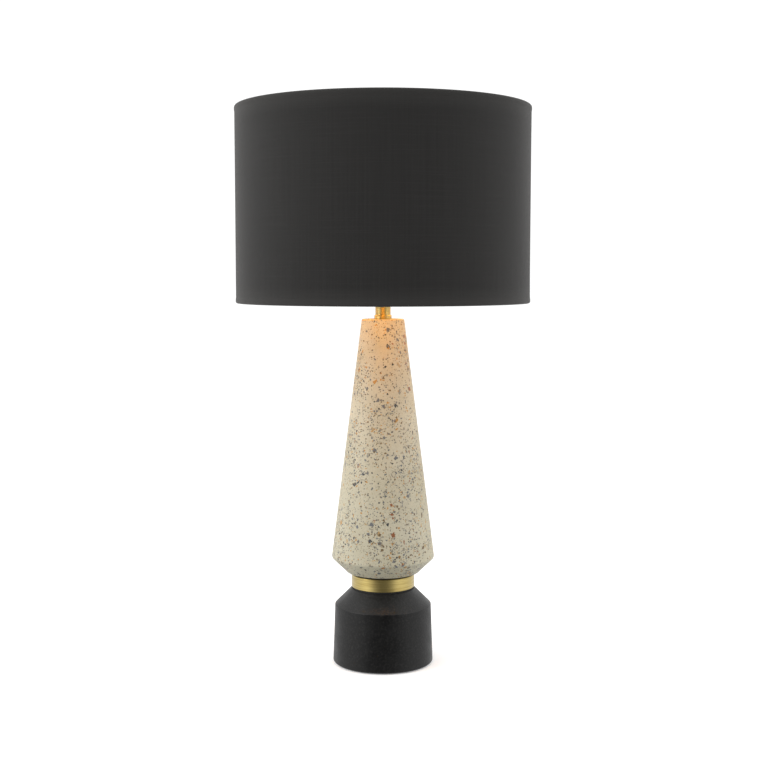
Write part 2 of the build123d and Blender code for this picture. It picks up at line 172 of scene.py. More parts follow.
def pipe_points(path, radius, sides=16):
    """A closed round tube along a path of points, in millimetres: its vertices and faces."""
    path = np.array(path, float)
    along = np.gradient(path, axis=0)
    side = np.cross(along[0], (0.0, 0.0, 1.0))
    if np.linalg.norm(side) < 1e-6:
        side = np.array([1.0, 0.0, 0.0])
    vertices = []
    for place, heading in zip(path, along):
        heading = unit(heading)
        side = unit(side - heading * np.dot(side, heading))
        up = np.cross(heading, side)
        for k in range(sides):
            a = TURN * k / sides
            vertices.append(place + radius * (math.cos(a) * side + math.sin(a) * up))
    faces = grid_faces(len(path), sides, wrap_rows=False)
    last = (len(path) - 1) * sides
    faces.append(tuple(range(sides))[::-1])
    faces.append(tuple(range(last, last + sides)))
    return vertices, faces


def rounded_path(points, radius, steps=8):
    """A path whose corners are arcs, with short steps along its straight runs."""
    points = [np.array(p, float) for p in points]
    path = [points[0]]
    for before, corner, after in zip(points, points[1:], points[2:]):
        into, out = unit(before - corner), unit(after - corner)
        half = math.acos(np.clip(np.dot(into, out), -1, 1)) / 2
        centre = corner + unit(into + out) * radius / math.sin(half)
        start = corner + into * radius / math.tan(half)
        end = corner + out * radius / math.tan(half)
        for i in range(steps + 1):
            ray = unit((start - centre) * (1 - i / steps) + (end - centre) * i / steps)
            path.append(centre + ray * radius)
    path.append(points[-1])
    return path


# --------------------------------------------------------------------- material making

class Paint:
    """A material under construction: short calls that add its nodes."""

    def __init__(self, name):
        self.material = bpy.data.materials.new(name)
        self.material.use_nodes = True
        self.tree = self.material.node_tree
        self.tree.nodes.clear()
        self.place = self.node("TexCoord").outputs["Object"]

    def node(self, kind, inputs=None, **settings):
        node = self.tree.nodes.new("ShaderNode" + kind)
        for key, value in settings.items():
            setattr(node, key, value)
        for key, value in (inputs or {}).items():
            self.feed(node.inputs[key], value)
        return node

    def feed(self, socket, value):
        if isinstance(value, bpy.types.NodeSocket):
            self.tree.links.new(value, socket)
        else:
            socket.default_value = value

    def math(self, operation, a, b=0.0, c=0.0):
        return self.node("Math", {0: a, 1: b, 2: c}, operation=operation).outputs[0]

    def mix(self, share, a, b):
        node = self.node("Mix", data_type="RGBA")
        self.feed(node.inputs["Factor"], share)
        for socket, value in zip([s for s in node.inputs if s.type == "RGBA"], (a, b)):
            self.feed(socket, value)
        return [s for s in node.outputs if s.type == "RGBA"][0]

    def scaled(self, factors, place=None):
        """The place multiplied by a factor along each axis."""
        inputs = {0: place or self.place, 1: factors}
        return self.node("VectorMath", inputs, operation="MULTIPLY").outputs[0]

    def noise(self, scale, detail=3.0, place=None, rough=0.5, output="Fac"):
        inputs = {"Vector": place or self.place, "Scale": scale, "Detail": detail, "Roughness": rough}
        return self.node("TexNoise", inputs).outputs[output]

    def ramp(self, value, stops, interpolation="LINEAR"):
        """stops are (position, colour), in order."""
        node = self.node("ValToRGB", {"Fac": value})
        node.color_ramp.interpolation = interpolation
        for _ in range(len(stops) - 2):
            node.color_ramp.elements.new(0.5)
        for element, (position, colour) in zip(node.color_ramp.elements, stops):
            element.position = position
            element.color = colour
        return node.outputs["Color"]

    def between(self, value, low, high, from_low=0.0, from_high=1.0):
        inputs = {"Value": value, 1: from_low, 2: from_high, 3: low, 4: high}
        return self.node("MapRange", inputs).outputs["Result"]

    def around(self, radius):
        """(u, v) in metres: round the axis from the front, and up."""
        x, y, z = self.node("SeparateXYZ", {0: self.place}).outputs
        angle = self.math("ARCTAN2", x, self.math("MULTIPLY", y, -1.0))
        return self.math("MULTIPLY", angle, radius), z

    def flat(self, u, v):
        return self.node("CombineXYZ", {0: u, 1: v}).outputs[0]

    def bump(self, height, depth, strength=1.0, normal=None):
        """depth is the height's full range, in metres."""
        inputs = {"Strength": strength, "Distance": depth, "Height": height}
        if normal is not None:
            inputs["Normal"] = normal
        return self.node("Bump", inputs).outputs["Normal"]

    def surface(self, **inputs):
        """The shader. Base_Color stands for the input called Base Color."""
        named = {key.replace("_", " "): value for key, value in inputs.items()}
        shader = self.node("BsdfPrincipled", named)
        self.node("OutputMaterial", {"Surface": shader.outputs["BSDF"]})
        return self.material


def colour(red, green, blue):
    """A colour given as on a screen, 0 to 255, in linear light."""
    def linear(level):
        level /= 255
        return level / 12.92 if level <= 0.04045 else ((level + 0.055) / 1.055) ** 2.4
    return (linear(red), linear(green), linear(blue), 1.0)


# ------------------------------------------------------------------------------ finishes

def terrazzo():
    """Pale cement with angular chips of many sizes, ground smooth."""
    paint = Paint("terrazzo")
    cloud = paint.noise(22.0, 4.0)
    grain = paint.noise(900.0, 2.0)
    cement = paint.ramp(cloud, [(0.3, colour(185, 179, 154)), (0.7, colour(200, 195, 173))])
    cement = paint.mix(paint.between(grain, 0.0, 0.42, 0.35, 0.75), cement, colour(154, 145, 121))
    crowd = paint.noise(26.0, 2.0)
    shake = 0.9 * MM
    wobble = paint.noise(700.0, 1.0, output="Color")
    shaken = paint.node("VectorMath", {0: wobble, 1: (-0.5, -0.5, -0.5)}, operation="ADD").outputs[0]
    shaken = paint.scaled((shake, shake, shake), shaken)
    place = paint.node("VectorMath", {0: paint.place, 1: shaken}, operation="ADD").outputs[0]
    chips = [
        # size of a cell in mm, share of cells that hold a chip, gap, stretch,
        # how far along the row of stones its colours go
        (5.0, 0.07, 0.15, (1.0, 0.75, 0.8), 1.0),
        (3.5, 0.20, 0.13, (0.8, 1.0, 0.7), 0.92),
        (2.3, 0.28, 0.11, (1.0, 0.8, 1.0), 0.68),
        (1.5, 0.28, 0.09, (1.0, 1.0, 1.0), 0.62),
    ]
    stone = [
        (0.0, colour(62, 62, 62)),
        (0.12, colour(104, 106, 108)),
        (0.32, colour(136, 131, 117)),
        (0.46, colour(110, 90, 62)),
        (0.57, colour(176, 132, 68)),
        (0.70, colour(140, 88, 56)),
        (0.80, colour(170, 150, 112)),
        (0.96, colour(222, 216, 198)),
    ]
    body, any_chip = cement, 0.0
    for size, share, gap, stretch, reach in chips:
        where = paint.scaled(stretch, place)
        settings = {"Vector": where, "Scale": 1 / (size * MM), "Randomness": 1.0}
        cell = paint.node("TexVoronoi", settings, feature="F1").outputs["Color"]
        edge = paint.node("TexVoronoi", settings, feature="DISTANCE_TO_EDGE").outputs["Distance"]
        red, green, blue = paint.node("SeparateColor", {0: cell}).outputs
        limit = paint.between(crowd, 0.5 * share, 1.6 * share, 0.36, 0.62)
        chosen = paint.math("LESS_THAN", red, limit)
        margin = paint.math("MULTIPLY_ADD", blue, 0.16, gap)
        inside = paint.between(paint.math("SUBTRACT", edge, margin), 0.0, 1.0, 0.0, 0.03)
        mask = paint.math("MULTIPLY", chosen, inside)
        kind = paint.math("MULTIPLY", green, reach)
        body = paint.mix(mask, body, paint.ramp(kind, stone, "CONSTANT"))
        any_chip = paint.math("MAXIMUM", any_chip, mask)
    normal = paint.bump(grain, 0.00006, 0.5)
    normal = paint.bump(any_chip, 0.00005, 0.6, normal)
    rough = paint.between(any_chip, 0.62, 0.38)
    return paint.surface(Base_Color=body, Roughness=rough, Normal=normal)


def brushed_brass(radius):
    """Brushed round the axis, so the lines are level."""
    paint = Paint("brushed_brass")
    u, v = paint.around(radius)
    lines = paint.noise(1.0, 4.0, paint.scaled((60.0, 5200.0, 1.0), paint.flat(u, v)), 0.65)
    bands = paint.noise(1.0, 3.0, paint.scaled((30.0, 800.0, 1.0), paint.flat(u, v)), 0.6)
    patina = paint.noise(60.0, 3.0)
    streaks = paint.between(bands, 0.0, 0.8, 0.35, 0.65)
    base = paint.mix(streaks, colour(204, 184, 116), colour(168, 145, 78))
    base = paint.mix(paint.between(patina, 0.0, 0.25, 0.5, 0.8), base, colour(160, 136, 70))
    normal = paint.bump(lines, 0.00002, 0.5)
    roughness = paint.between(lines, 0.30, 0.44, 0.25, 0.75)
    tangent = paint.node("Tangent", direction_type="RADIAL", axis="Z").outputs[0]
    return paint.surface(
        Base_Color=base, Metallic=1.0, Roughness=roughness, Normal=normal,
        Anisotropic=0.5, Anisotropic_Rotation=0.25, Tangent=tangent,
        Coat_Weight=0.5, Coat_Roughness=0.3,
    )


def powder_coat():
    """Black and matt, finely grained, with small greyer lumps."""
    paint = Paint("black_powder_coat")
    mottle = paint.noise(70.0, 5.0, rough=0.6)
    grain = paint.noise(1500.0, 3.0)
    lumps = paint.noise(520.0, 3.0, rough=0.6)
    base = paint.ramp(mottle, [(0.3, colour(4, 4, 4)), (0.7, colour(11, 11, 10))])
    base = paint.mix(paint.between(lumps, 0.0, 0.7, 0.48, 0.68), base, colour(35, 34, 33))
    normal = paint.bump(grain, 0.00008, 0.4)
    normal = paint.bump(lumps, 0.0004, 0.5, normal)
    rough = paint.between(mottle, 0.36, 0.50, 0.3, 0.7)
    return paint.surface(Base_Color=base, Roughness=rough, Normal=normal, Specular_IOR_Level=0.32)


def shade_cloth(radius, low, high):
    """Black plain-weave cloth: threads, slubs that run up the shade, and paler rims, a painted
    highlight along both hems.
    """
    paint = Paint("black_cloth")
    u, v = paint.around(radius)
    rim = paint.math("MINIMUM", paint.math("SUBTRACT", v, low), paint.math("SUBTRACT", high, v))
    thread = 0.00046
    across = paint.math("MULTIPLY", u, math.pi / thread)
    up = paint.math("MULTIPLY", v, math.pi / thread)
    warp = paint.math("ABSOLUTE", paint.math("SINE", across))
    weft = paint.math("ABSOLUTE", paint.math("SINE", up))
    over = paint.math("MULTIPLY", paint.math("SINE", across), paint.math("SINE", up))
    over = paint.between(over, 0.0, 1.0, -0.15, 0.15)
    weave = paint.mix(over, warp, weft)
    slubs = paint.noise(1.0, 3.0, paint.scaled((520.0, 9.0, 1.0), paint.flat(u, v)), 0.6)
    level_slubs = paint.noise(1.0, 2.0, paint.scaled((12.0, 900.0, 1.0), paint.flat(u, v)))
    tone = paint.mix(slubs, colour(31, 30, 29), colour(42, 41, 40))
    tone = paint.mix(paint.between(level_slubs, 0.0, 0.3, 0.5, 0.8), tone, colour(52, 50, 50))
    # painted highlight: the cloth is mixed towards a paler grey within 18 mm of the top and bottom
    # rims
    tone = paint.mix(paint.between(rim, 0.55, 0.0, 0.0, 0.018), tone, colour(60, 59, 57))
    tone = paint.mix(paint.between(weave, 0.3, 0.0), tone, colour(12, 12, 12))
    normal = paint.bump(weave, 0.00009, 0.35)
    normal = paint.bump(slubs, 0.00012, 0.25, normal)
    return paint.surface(
        Base_Color=tone, Roughness=0.85, Normal=normal, Specular_IOR_Level=0.25,
        Sheen_Weight=0.3, Sheen_Roughness=0.45, Sheen_Tint=(0.62, 0.61, 0.6, 1.0),
    )


def laminate(radius):
    """The shade's lining: thin off-white sheet with the cloth's weave showing a little."""
    paint = Paint("liner_laminate")
    u, v = paint.around(radius)
    streak = paint.noise(1.0, 3.0, paint.scaled((240.0, 18.0, 1.0), paint.flat(u, v)))
    fine = paint.noise(2200.0, 2.0)
    base = paint.ramp(streak, [(0.3, colour(226, 221, 210)), (0.7, colour(238, 234, 225))])
    normal = paint.bump(fine, 0.00003, 0.5)
    return paint.surface(Base_Color=base, Roughness=0.5, Normal=normal)


def plain(name, dark, light, rough, grain=900.0, depth=0.00003, **more):
    """Plastic, rubber or paint: two close tones, a varied gloss and a fine grain."""
    paint = Paint(name)
    cloud = paint.noise(120.0, 4.0)
    fine = paint.noise(grain, 2.0)
    base = paint.ramp(cloud, [(0.3, colour(*dark)), (0.7, colour(*light))])
    roughness = paint.between(cloud, rough - 0.06, rough + 0.06, 0.3, 0.7)
    normal = paint.bump(fine, depth, 0.5)
    return paint.surface(Base_Color=base, Roughness=roughness, Normal=normal, **more)


def metal(name, dark, light, rough, lines=2600.0):
    """Drawn or turned metal, with faint level lines."""
    paint = Paint(name)
    marks = paint.noise(1.0, 3.0, paint.scaled((180.0, 180.0, lines)))
    cloud = paint.noise(90.0, 3.0)
    base = paint.ramp(cloud, [(0.3, colour(*dark)), (0.7, colour(*light))])
    roughness = paint.between(marks, rough - 0.07, rough + 0.09, 0.3, 0.7)
    normal = paint.bump(marks, 0.00001, 0.4)
    return paint.surface(Base_Color=base, Metallic=1.0, Roughness=roughness, Normal=normal)


def clear_glass():
    paint = Paint("clear_glass")
    ripple = paint.noise(35.0, 2.0)
    smear = paint.noise(90.0, 3.0)
    return paint.surface(
        Base_Color=(1.0, 1.0, 1.0, 1.0),
        Roughness=paint.between(smear, 0.0, 0.03, 0.5, 0.8),
        Normal=paint.bump(ripple, 0.0004, 0.15),
        IOR=1.45, Transmission_Weight=1.0,
    )


def lit_filament():
    paint = Paint("lit_filament")
    beads = paint.noise(900.0, 1.0)
    glow = paint.ramp(beads, [(0.35, (1.0, 0.42, 0.1, 1.0)), (0.65, (1.0, 0.6, 0.24, 1.0))])
    return paint.surface(
        Base_Color=colour(250, 190, 90), Roughness=0.5, Emission_Color=glow, Emission_Strength=14.0
    )


def felt():
    paint = Paint("foot_pad")
    fibres = paint.noise(1400.0, 4.0, rough=0.7)
    cloud = paint.noise(60.0, 3.0)
    base = paint.mix(cloud, colour(24, 24, 25), colour(44, 44, 45))
    return paint.surface(
        Base_Color=base, Roughness=0.95, Normal=paint.bump(fibres, 0.0003, 0.6), Sheen_Weight=0.2
    )


COLLAR_R = span("brass_collar")[0]
SHADE_R, SHADE_LOW, SHADE_HIGH = span("shade_fabric")
LINER_R = span("shade_liner")[0]

FINISH = {
    "pad": felt(),
    "foot_black": powder_coat(),
    "zinc_steel": metal("zinc_steel", (168, 170, 174), (196, 198, 200), 0.32),
    "black_rubber": plain("black_rubber", (38, 37, 35), (50, 48, 45), 0.72, 1400.0),
    "brass": brushed_brass(COLLAR_R * MM),
    "terrazzo": terrazzo(),
    "grey_plastic": plain("grey_plastic", (96, 96, 98), (110, 110, 112), 0.5),
    "holder_black": plain("holder_black", (22, 22, 23), (30, 30, 31), 0.42, 1100.0),
    "steatite": plain("steatite", (208, 203, 188), (226, 222, 208), 0.7, 1500.0, 0.00006),
    "contact_brass": metal("contact_brass", (196, 160, 92), (214, 180, 112), 0.3),
    "flex_black": plain("flex_black", (20, 20, 21), (29, 29, 30), 0.55, 1300.0),
    "core_brown": plain("core_brown", (92, 54, 28), (110, 66, 36), 0.45),
    "core_blue": plain("core_blue", (34, 70, 140), (44, 84, 160), 0.45),
    "shade_cloth": shade_cloth(SHADE_R * MM, SHADE_LOW * MM, SHADE_HIGH * MM),
    "shade_liner": laminate(LINER_R * MM),
    "wire_white": plain("white_wire", (222, 221, 215), (234, 233, 228), 0.38, 700.0, 0.00005),
    "bulb_nickel": metal("nickel", (196, 194, 188), (214, 212, 206), 0.22),
    "bulb_black_glass": plain("black_glass", (10, 10, 11), (16, 16, 17), 0.12),
    "bulb_clear": clear_glass(),
    "filament": lit_filament(),
    "support_wire": metal("support_wire", (170, 170, 170), (190, 190, 190), 0.3),
}
SLOT = {part["node"]: part["material_slot"] for part in frame["record"]["subparts"]}


def paint_over(piece, slot_name):
    piece.data.materials.clear()
    piece.data.materials.append(FINISH[slot_name])


for node, cad_object in NODES.items():
    paint_over(cad_object, SLOT[node])


def stands_for(piece, body, *nodes):
    """Gives a piece its nodes' finish, rides it on their body and hides them."""
    paint_over(piece, SLOT[nodes[0]])
    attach(piece, body)
    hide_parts(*nodes)
    return piece


# -------------------------------------------------------------------------------- foot

FOOT_R, FOOT_LOW, FOOT_HIGH = span("base_block")
FOOT_DRAFT = 2.1
FOOT_TOP_R = 33.3
FOOT_WALL = 11.0
FOOT_CEILING = 63.0
CAVITY_SLOPE = 8.0
TUBE_HOLE_R = 5.3
INLET_R = 3.6
GROMMET_WAIST_R = 4.9
GROMMET_FLANGE = 2.0


def foot():
    corner_r = FOOT_R - FOOT_DRAFT
    corner_z = FOOT_HIGH - (corner_r - FOOT_TOP_R)
    pad_r, _, pad_high = span("base_pad")
    inside_r = FOOT_R - FOOT_WALL
    outline = rounded([
        (TUBE_HOLE_R, FOOT_CEILING),
        (inside_r - CAVITY_SLOPE, FOOT_CEILING),
        (inside_r, FOOT_CEILING - CAVITY_SLOPE),
        (inside_r, pad_high),
        (pad_r + 0.4, pad_high),
        (pad_r + 0.4, FOOT_LOW, 0.3),
        (FOOT_R, FOOT_LOW, 2.0),
        (corner_r, corner_z, 0.9),
        (FOOT_TOP_R, FOOT_HIGH, 0.5),
        (TUBE_HOLE_R, FOOT_HIGH),
    ], steps=6)
    stands_for(lathe("foot_casting", refined(outline, 4.0)), "root", "base_block")


def foot_pad():
    r, low, high = span("base_pad")
    outline = rounded([(0, low), (r, low, 0.5), (r, high, 0.3), (0, high)], closed=False)
    stands_for(lathe("foot_pad", outline, closed=False), "root", "base_pad")


def grommet():
    """A lathe piece about the inlet's axis, laid along +Y."""
    low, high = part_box("cord_grommet")
    centre_z = (low.z + high.z) / 2
    flange_r = (high.x - low.x) / 2 / MM
    inner_y, outer_y = low.y / MM, high.y / MM
    wall_y = FOOT_R - 1.6
    outline = rounded([
        (INLET_R, inner_y, 0.3),
        (flange_r - 0.7, inner_y, 0.5),
        (flange_r - 0.7, inner_y + GROMMET_FLANGE),
        (GROMMET_WAIST_R, inner_y + GROMMET_FLANGE),
        (GROMMET_WAIST_R, wall_y),
        (flange_r, wall_y),
        (flange_r, outer_y, 1.1),
        (5.0, outer_y, 0.5),
        (INLET_R, outer_y - 1.2, 0.5),
    ])
    piece = lathe("cord_grommet_rubber", outline)
    turn = Vector((0, 0, 1)).rotation_difference(Vector((0, 1, 0))).to_matrix().to_4x4()
    turn.translation = Vector((0, 0, centre_z))
    piece.data.transform(turn)
    stands_for(piece, "root", "cord_grommet")


# ------------------------------------------------------------------- collar, cone, neck

COLLAR_WALL = 2.0
RIDGE_R = 54.1
RIDGE_RISE = 15.7
TERRAZZO_TOP_R = 22.1
TERRAZZO_FOOT_R = 38.0
CORE_FOOT_R = 20.0
CORE_TOP_R = 9.0
ROOF = 18.0
NECK_WALL = 1.2


def collar():
    r, low, high = span("brass_collar")
    outline = rounded([
        (TUBE_HOLE_R, high - COLLAR_WALL),
        (r - COLLAR_WALL, high - COLLAR_WALL, 0.8),
        (r - COLLAR_WALL, low, 0.3),
        (r, low, 0.35),
        (r, high, 0.5),
        (TUBE_HOLE_R, high),
    ])
    stands_for(lathe("brass_collar_spun", outline), "root", "brass_collar")


def cone():
    _, low, high = span("terrazzo_body")
    outline = rounded([
        (CORE_FOOT_R, low, 0.5),
        (TERRAZZO_FOOT_R, low, 0.7),
        (RIDGE_R, low + RIDGE_RISE, 3.0),
        (TERRAZZO_TOP_R, high, 1.6),
        (TUBE_HOLE_R, high, 0.3),
        (TUBE_HOLE_R, high - ROOF),
        (CORE_TOP_R, high - ROOF),
        (CORE_FOOT_R, low + 10.0),
    ], steps=8)
    stands_for(lathe("terrazzo_cone", refined(outline, 6.0)), "root", "terrazzo_body")


def neck():
    r, low, high = span("neck_flange")
    outline = rounded([
        (TUBE_HOLE_R, low), (r, low, 0.35), (r, high, 0.7), (TUBE_HOLE_R, high),
    ])
    stands_for(lathe("neck_flange_turned", outline), "root", "neck_flange")
    r, low, high = span("neck_tube")
    bore_r = r - NECK_WALL
    outline = rounded([(bore_r, low), (r, low), (r, high, 0.2), (bore_r, high, 0.2)])
    stands_for(lathe("neck_tube_drawn", outline), "root", "neck_tube")


# ------------------------------------------------------------------------------- threads

E27_PITCH = 3.629
HOLDER_PITCH = 2.0


def thread(pitch, depth, low, high):
    """A shape for lathe(): cuts a helical groove between two heights, outside a radius."""
    def cut(r, z, angle, least=0.0):
        phase = z / pitch - angle / TURN
        groove = 0.5 - 0.5 * np.cos(TURN * phase)
        inside = np.clip(z - low, 0, 1) * np.clip(high - z, 0, 1)
        return r - depth * groove * inside * (r > least)
    return cut


# ---------------------------------------------------------------------------- lampholder

CAP_BORE_R = 5.05
CAP_NECK_R = 9.5
CAP_RIBS = 48
SKIRT_R = 19.7
SKIRT_WALL = 1.8
MOUTH_R = 15.2
SHADE_REST_Z = 399.0
SLEEVE_R = 14.1


def lampholder():
    r, low, high = span("holder_cap")

    def ribbed(radius, z, angle):
        grip = (radius > r - 0.2) & (z > high - 5.6) & (z < high - 0.9)
        return radius - 0.35 * grip * (0.5 - 0.5 * np.cos(CAP_RIBS * angle))

    outline = rounded([
        (CAP_BORE_R, low),
        (CAP_NECK_R, low, 0.5),
        (CAP_NECK_R, low + 3.5, 0.4),
        (r, low + 10.5, 1.5),
        (r, high, 0.4),
        (r - 0.8, high, 0.2),
        (r - 0.8, high - 3.0),
        (17.0, high - 3.0),
        (17.0, high - 6.0),
        (9.0, low + 6.0),
        (CAP_BORE_R, low + 6.0),
    ])
    angles = np.arange(6 * CAP_RIBS) * TURN / (6 * CAP_RIBS)
    cap = lathe("lampholder_cap", refined(outline, 0.8), ribbed, angles)
    stands_for(cap, "root", "holder_cap")

    rest_r, low, high = span("holder_skirt")
    screw = thread(HOLDER_PITCH, 0.45, SHADE_REST_Z + 0.5, high - 1.5)

    def threaded(radius, z, angle):
        return screw(radius, z, angle, least=SKIRT_R - 0.05)

    outline = rounded([
        (SKIRT_R - SKIRT_WALL, low),
        (SKIRT_R, low, 0.4),
        (SKIRT_R, SHADE_REST_Z - 1.5),
        (rest_r, SHADE_REST_Z - 1.5, 0.4),
        (rest_r, SHADE_REST_Z, 0.4),
        (SKIRT_R, SHADE_REST_Z),
        (SKIRT_R, high, 0.9),
        (MOUTH_R, high, 0.6),
        (MOUTH_R, high - SKIRT_WALL),
        (SKIRT_R - SKIRT_WALL, high - SKIRT_WALL),
    ])
    skirt = lathe("lampholder_skirt", refined(outline, 0.25), threaded)
    stands_for(skirt, "root", "holder_skirt")


def screw_sleeve():
    """The threaded sleeve inside the lampholder."""
    _, low, high = span("screw_shell")
    wave = thread(E27_PITCH, 0.5, low + 3, high - 0.5)
    outline = rounded([
        (SLEEVE_R - 0.3, low), (SLEEVE_R + 2.4, low), (SLEEVE_R + 2.4, low + 0.5),
        (SLEEVE_R + 0.2, low + 0.5), (SLEEVE_R + 0.2, high), (SLEEVE_R - 0.3, high),
    ])
    sleeve = lathe("screw_sleeve_brass", refined(outline, 0.4), wave)
    stands_for(sleeve, "root", "screw_shell")


# --------------------------------------------------------------------------------- shade

CLOTH = 1.0
WIRE = 1.5
ARM_WIRE = 1.6
ARM_KNEE_R = 126.0
FITTER_BORE_R = 20.6
HEM = 4.8
SEAM_WIDTH = 12.0
SEAM_STEP = 0.55


def shade_angles():
    """Even steps, with close ones at the cloth's overlap at the back."""
    even = np.arange(360) * TURN / 360
    edge = math.pi + np.array([-0.0008, 0.0008, 0.004, 0.01])
    return np.sort(np.concatenate([even, edge]))


def overlap(angle):
    """How far the upper layer of the cloth's seam stands out: a crisp edge, then fading away."""
    past = (angle - math.pi) * SHADE_R
    return np.where(past > 0, SEAM_STEP * np.clip(1 - past / SEAM_WIDTH, 0, 1), 0)


def cloth_drum():
    """The cloth: over the outside, round both wires, and tucked down behind them."""
    _, low, high = span("shade_fabric")
    outer = SHADE_R
    inner = outer - CLOTH
    tuck_r = inner - HEM

    def rim(level, way):
        """The turned hem, from outside to inside, at the bottom (way 1) or top (way -1)."""
        return [
            (outer - 0.25, level + way * 6.5, 3.0),
            (outer + 0.1, level + way * 3.4, 2.0),
            (outer + 0.05, level + way * 0.0, 1.9),
            (tuck_r, level, 1.9),
            (tuck_r, level + way * 7.0, 0.3),
            (tuck_r + 0.6, level + way * 7.0, 0.3),
            (tuck_r + 0.6, level + way * 0.8, 0.8),
            (inner - 0.1, level + way * 0.8, 0.8),
        ]

    outline = rounded(rim(low, 1) + rim(high, -1)[::-1], steps=6)
    outline = refined(outline, 5.0)

    def woven(r, z, angle):
        outside = r > inner + 0.2
        wave = 0.10 * np.sin(3 * angle + 0.7) + 0.07 * np.sin(11 * angle + z / 60)
        calm = np.clip((z - low - 8) / 20, 0, 1) * np.clip((high - 8 - z) / 20, 0, 1)
        return r + outside * (wave * calm + overlap(angle))

    drum = lathe("shade_cloth_drum", outline, woven, shade_angles(), sharp=60)
    stands_for(drum, "shade", "shade_fabric")


def liner_sheet():
    r, low, high = span("shade_liner")

    def lapped(radius, z, angle):
        past = (angle - math.pi) * r
        return radius - 0.3 * ((past > -8) & (past < 0)) * (radius < r - 0.2)

    outline = rounded([(r - 0.5, low), (r, low), (r, high), (r - 0.5, high)])
    sheet = lathe("shade_liner_sheet", refined(outline, 8.0), lapped, shade_angles())
    stands_for(sheet, "shade", "shade_liner")


def ring_part(radius, wire, z, around=256, sides=16):
    vertices = []
    for i in range(around):
        a = TURN * i / around
        for k in range(sides):
            b = TURN * k / sides
            r = radius + wire * math.cos(b)
            vertices.append((r * math.cos(a), r * math.sin(a), z + wire * math.sin(b)))
    return vertices, grid_faces(around, sides)


def blob(centre, radii, turn=0.0, rows=10, columns=16):
    """A weld bead: a lump with its own length, width and height."""
    vertices = []
    for i in range(rows + 1):
        b = math.pi * i / rows
        for k in range(columns):
            a = TURN * k / columns
            x = radii[0] * math.sin(b) * math.cos(a)
            y = radii[1] * math.sin(b) * math.sin(a)
            vertices.append((
                centre[0] + x * math.cos(turn) - y * math.sin(turn),
                centre[1] + x * math.sin(turn) + y * math.cos(turn),
                centre[2] + radii[2] * math.cos(b),
            ))
    return vertices, grid_faces(rows + 1, columns, wrap_rows=False)


def wire_frame():
    """Both rings, the fitter and the three arms, with a weld at each arm's ends."""
    for end in ("top", "bottom"):
        r, low, high = span(f"shade_{end}_wire")
        ring = mesh_object(f"shade_{end}_ring", [ring_part(r - WIRE, WIRE, (low + high) / 2)])
        stands_for(ring, "shade", f"shade_{end}_wire")
    ring_r = r - WIRE
    ring_z = low + WIRE

    r, low, high = span("shade_fitter")
    plate = rounded([
        (FITTER_BORE_R, low, 0.3), (r, low, 0.5), (r, high, 0.5), (FITTER_BORE_R, high, 0.3),
    ])
    stands_for(lathe("shade_fitter_ring", plate), "shade", "shade_fitter")

    level = (low + high) / 2
    for side, degrees in (("rear", 90), ("left", 210), ("right", 330)):
        a = math.radians(degrees)
        way = np.array([math.cos(a), math.sin(a)])
        corners = [(r - 0.6, level), (ARM_KNEE_R, level), (ring_r - 0.6, ring_z + 0.6)]
        path = rounded_path([(*(way * cr), cz) for cr, cz in corners], 12.0)
        parts = [
            pipe_points(path, ARM_WIRE),
            blob((*(way * (r + 0.2)), level), (2.4, 2.5, 1.9), a),
            blob((*(way * (ring_r - 0.9)), ring_z + 0.9), (1.8, 3.2, 1.8), a),
        ]
        arm = mesh_object(f"shade_{side}_arm_wire", parts)
        stands_for(arm, "shade", f"shade_arm_{side}")


NUT_BORE_R = 20.05
NUT_TOP_R = 23.6
NUT_FLANGE = 1.8
NUT_FLUTES = 24


def ring_nut():
    flange_r, low, high = span("shade_ring_nut")
    screw = thread(HOLDER_PITCH, 0.3, low + 0.6, high - 0.6)

    def fluted(radius, z, angle):
        grip = (radius > NUT_TOP_R - 1.1) & (z > low + NUT_FLANGE + 0.9)
        deep = np.clip(np.cos(NUT_FLUTES * angle) * 1.4 - 0.4, 0, 1)
        inside = radius < NUT_BORE_R + 0.55
        return np.where(inside, screw(radius, z, angle) + 0.3, radius - 0.75 * deep * grip)

    outline = rounded([
        (NUT_BORE_R, low, 0.2),
        (flange_r, low, 0.5),
        (flange_r, low + NUT_FLANGE, 0.6),
        (NUT_TOP_R, low + NUT_FLANGE, 0.4),
        (NUT_TOP_R, high, 0.7),
        (NUT_BORE_R, high, 0.3),
    ])
    angles = np.arange(12 * NUT_FLUTES) * TURN / (12 * NUT_FLUTES)
    nut = lathe("shade_ring_nut_moulded", refined(outline, 0.5), fluted, angles)
    stands_for(nut, "ring_nut", "shade_ring_nut")


# ---------------------------------------------------------------------------------- bulb

CAP_END_R = 10.6
GLASS_WALL = 1.0
GLASS_NECK_R = 12.2
STICK_R = 0.9
STICK_FOOT_R = 3.2
STICK_HEAD_R = 9.5


def bulb_screw():
    """The rolled screw cap, and the soldered contact at its end."""
    cap_r, low, high = span("bulb_cap")
    crest = cap_r - 0.4
    wave = thread(E27_PITCH, 0.75, low + 1.2, high - 2.2)
    outline = rounded([
        (CAP_END_R, low), (CAP_END_R + 1, low, 0.3), (crest, low + 1.7, 0.4), (crest, high - 2.2, 0.3),
        (cap_r, high - 0.6, 0.3), (cap_r, high), (cap_r - 0.4, high),
        (crest - 0.4, high - 2.2), (crest - 0.4, low + 1.9), (CAP_END_R, low + 0.4),
    ])
    cap = lathe("bulb_screw_cap", refined(outline, 0.3), wave)
    stands_for(cap, "bulb", "bulb_cap")

    tip_r, low, high = span("bulb_contact")
    outline = rounded([
        (0, low), (2.4, low, 0.8), (tip_r, low + 0.5, 0.5), (tip_r, high), (0, high),
    ], closed=False)
    stands_for(lathe("bulb_tip_solder", outline, closed=False), "bulb_tip", "bulb_contact")


